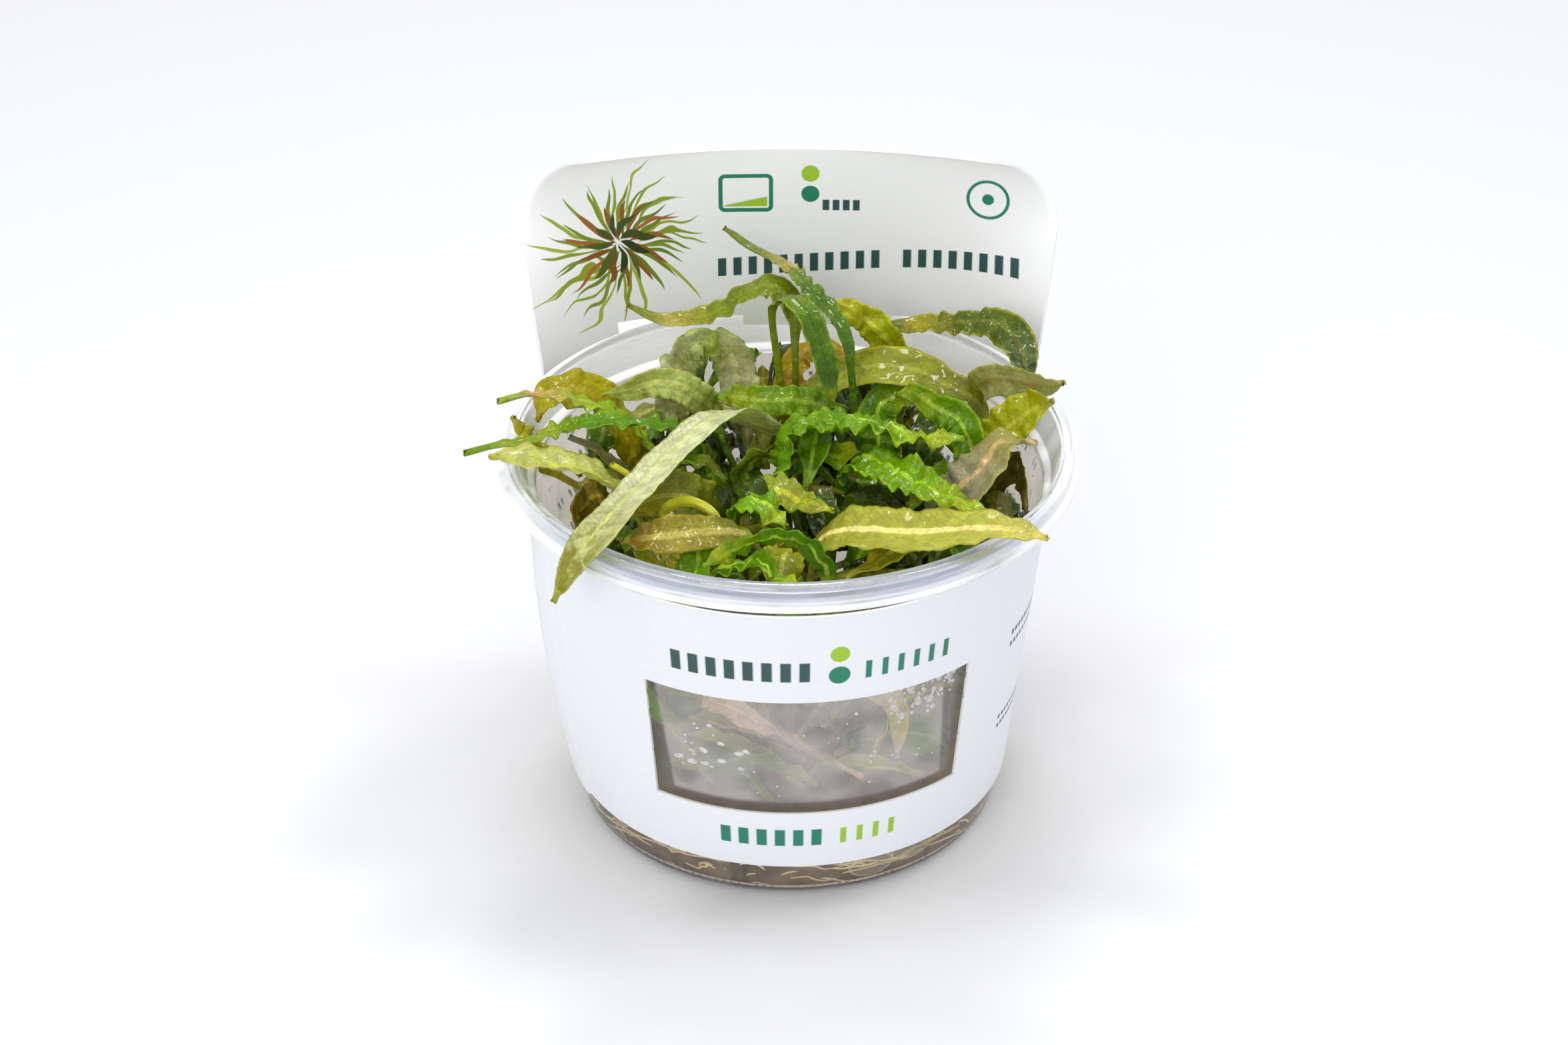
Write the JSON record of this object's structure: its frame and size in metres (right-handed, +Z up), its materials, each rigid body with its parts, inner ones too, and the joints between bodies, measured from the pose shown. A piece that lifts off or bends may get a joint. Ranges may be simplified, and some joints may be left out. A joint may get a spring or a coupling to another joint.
{
  "type": "aquarium plant tissue culture cup",
  "caption": "Clear tapered tub in a printed card sleeve with a window and a tall header, holding brown gel, roots and a dense tuft of long wavy aquarium plant leaves that arch over the rim.",
  "frame": {"origin": "centre of the cup's flat base, on the surface it stands on", "axes": "+Z up along the cup's axis, +Y towards the card's tall header, -Y towards the card's window"},
  "size_m": [0.1106, 0.105, 0.1098],
  "materials": {
    "clear_plastic": "clear, glossy, lightly hazed",
    "white_card": "coated white card, satin, printed",
    "brown_gel": "wet translucent brown gel",
    "crown": "pale yellow-green plant tissue",
    "leaf_bright": "bright green leaf, wet gloss",
    "leaf_brown": "brown-green leaf, satin",
    "leaf_dark": "dark green leaf, glossy",
    "leaf_glassy": "thin grey-green leaf, translucent",
    "leaf_green": "green leaf, glossy",
    "leaf_lime": "yellow-green leaf, satin",
    "leaf_olive": "olive leaf, satin with fine veins",
    "leaf_orange": "orange-yellow leaf, satin",
    "leaf_pale": "thin pale yellow-green leaf, satin",
    "leaf_yellow": "yellow leaf stalk, satin"
  },
  "bodies": {
    "root": {"cup": "clear_plastic", "sleeve": "white_card", "gel": "brown_gel", "crown_back": "crown", "crown_left": "crown", "crown_right": "crown", "crown_front": "crown", "leaf_long_pale": "leaf_pale", "leaf_tail_back": "leaf_olive", "leaf_hoop": "leaf_green", "leaf_spear": "leaf_green", "leaf_crinkled_back": "leaf_lime", "leaf_broad_arch": "leaf_olive", "leaf_right_arch": "leaf_olive", "leaf_right_pale": "leaf_pale", "leaf_right_cup": "leaf_lime", "leaf_right_glassy": "leaf_glassy", "leaf_right_wall": "leaf_brown", "leaf_front_right": "leaf_pale", "leaf_middle_bright": "leaf_bright", "leaf_diagonal_bright": "leaf_bright", "leaf_left_serrated": "leaf_bright", "leaf_left_hump": "leaf_brown", "leaf_left_folded": "leaf_pale", "leaf_left_green": "leaf_green", "leaf_left_drape": "leaf_lime", "leaf_left_grey": "leaf_glassy", "leaf_front_left": "leaf_brown", "leaf_front_green": "leaf_bright", "leaf_front_pale": "leaf_green", "stalk_yellow": "leaf_yellow", "leaf_crumpled_left": "leaf_glassy", "leaf_crumpled_back": "leaf_glassy", "leaf_orange_back": "leaf_orange", "leaf_right_small": "leaf_dark", "leaf_right_bright": "leaf_bright", "leaf_left_smoky": "leaf_pale", "leaf_middle_back": "leaf_bright", "leaf_under_arch": "leaf_bright", "leaf_middle_dark": "leaf_green", "leaf_front_dark": "leaf_dark", "leaf_front_olive": "leaf_olive", "leaf_left_brown": "leaf_brown", "leaf_window_pink": "leaf_brown", "leaf_window_curved": "leaf_pale", "leaf_window_green": "leaf_green", "leaf_inner_01": "leaf_green", "leaf_inner_02": "leaf_dark", "leaf_inner_03": "leaf_olive", "leaf_inner_04": "leaf_olive", "leaf_inner_05": "leaf_green", "leaf_inner_06": "leaf_olive", "leaf_inner_07": "leaf_dark", "leaf_inner_08": "leaf_olive", "leaf_inner_09": "leaf_green", "leaf_inner_10": "leaf_dark", "leaf_inner_11": "leaf_olive", "leaf_inner_12": "leaf_green", "leaf_inner_13": "leaf_dark", "leaf_inner_14": "leaf_bright"}
  },
  "joints": []
}
